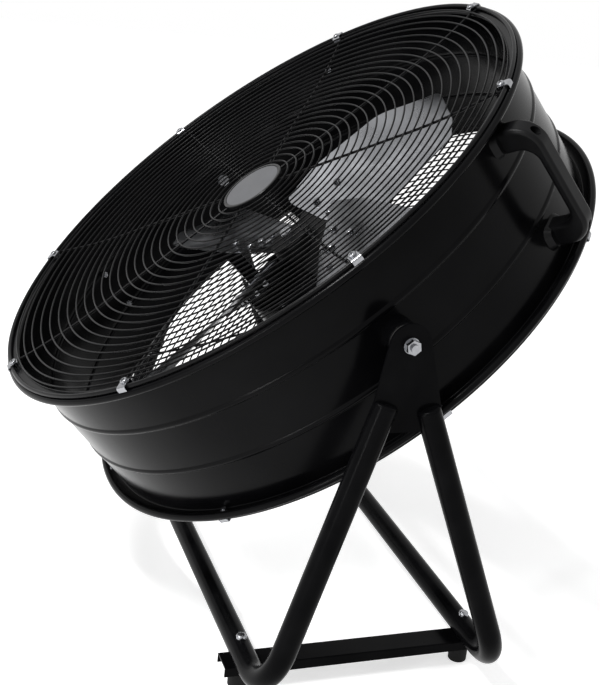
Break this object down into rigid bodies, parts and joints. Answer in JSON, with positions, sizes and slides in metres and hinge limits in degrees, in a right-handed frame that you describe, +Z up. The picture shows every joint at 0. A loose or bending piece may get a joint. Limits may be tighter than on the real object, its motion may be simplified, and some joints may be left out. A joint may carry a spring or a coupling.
{
  "type": "drum fan",
  "caption": "Drum fan: a steel drum with wire guards, riveted aluminium blades and a hidden motor, tilting in a bent-tube stand.",
  "frame": {"origin": "on the floor, midway between the two tilt pivots, straight below the tilt axis", "axes": "+X along the tilt axis, towards the fan's own left; +Z up; the fan blows towards -Y and up"},
  "size_m": [0.7658, 0.6576, 0.71],
  "materials": {
    "black_steel": "gloss black enamel on sheet and tube steel",
    "black_wire": "satin black enamel on welded wire",
    "blade_aluminium": "bare rolled aluminium sheet",
    "spider_steel": "black enamel on pressed steel",
    "zinc_hardware": "bright zinc plate",
    "shaft_steel": "ground steel",
    "electrical_steel": "stacked electrical steel",
    "copper_winding": "enamelled copper wire",
    "motor_paint": "black enamel on the motor's case",
    "black_plastic": "moulded black plastic",
    "knob_plastic": "moulded black plastic",
    "capacitor_plastic": "white plastic case",
    "bezel_plastic": "black plastic",
    "badge_plate": "blank brushed plate",
    "foot_rubber": "moulded rubber",
    "friction_fibre": "dark fibre disc"
  },
  "bodies": {
    "stand": {"front_tube": "black_steel", "rear_tube": "black_steel", "right_side_plate": "black_steel", "left_side_plate": "black_steel", "right_rail": "black_steel", "left_rail": "black_steel", "rubber_feet": "foot_rubber", "tube_bolts": "zinc_hardware", "tube_nuts": "zinc_hardware"},
    "drum": {"drum_shell": "black_steel", "front_guard": "black_wire", "rear_guard": "black_wire", "badge_bezel": "bezel_plastic", "badge_disc": "badge_plate", "guard_clips": "zinc_hardware", "clip_screws": "zinc_hardware", "clip_nuts": "zinc_hardware", "right_handle": "black_plastic", "left_handle": "black_plastic", "handle_screws": "zinc_hardware", "handle_nuts": "zinc_hardware", "switch_box": "black_plastic", "switch_box_cover": "black_plastic", "box_screws": "zinc_hardware", "box_nuts": "zinc_hardware", "rotary_switch": "black_plastic", "capacitor": "capacitor_plastic", "cord_gland": "black_plastic", "right_pivot_boss": "black_steel", "left_pivot_boss": "black_steel", "right_friction_disc": "friction_fibre", "left_friction_disc": "friction_fibre", "pivot_bolts": "zinc_hardware", "pivot_washers": "zinc_hardware", "pivot_nuts": "zinc_hardware", "motor_shell": "motor_paint", "motor_front_bell": "motor_paint", "motor_rear_bell": "motor_paint", "motor_bearings": "shaft_steel", "motor_stator": "electrical_steel", "motor_windings": "copper_winding", "motor_studs": "zinc_hardware", "stud_nuts": "zinc_hardware", "upper_motor_bar": "black_steel", "lower_motor_bar": "black_steel"},
    "fan": {"motor_rotor": "electrical_steel", "motor_shaft": "shaft_steel", "fan_spider": "spider_steel", "blade_1": "blade_aluminium", "blade_2": "blade_aluminium", "blade_3": "blade_aluminium", "blade_4": "blade_aluminium", "blade_rivets": "zinc_hardware", "hub_set_screw": "zinc_hardware"},
    "knob": {"switch_knob": "knob_plastic"}
  },
  "joints": [
    {"name": "drum_tilt", "type": "hinge", "parent": "stand", "child": "drum", "pos_m": [0, 0, 0.414], "axis": [1, 0, 0], "range_deg": [-130.3, 139.7]},
    {"name": "fan_spin", "type": "hinge", "parent": "drum", "child": "fan", "pos_m": [0, 0, 0.414], "axis": [0, -0.6468, 0.7627], "continuous": true},
    {"name": "speed_switch", "type": "hinge", "parent": "drum", "child": "knob", "pos_m": [-0.30933, -0.16684, 0.26595], "axis": [-0.766, -0.4902, -0.4157], "range_deg": [0, 120]}
  ]
}
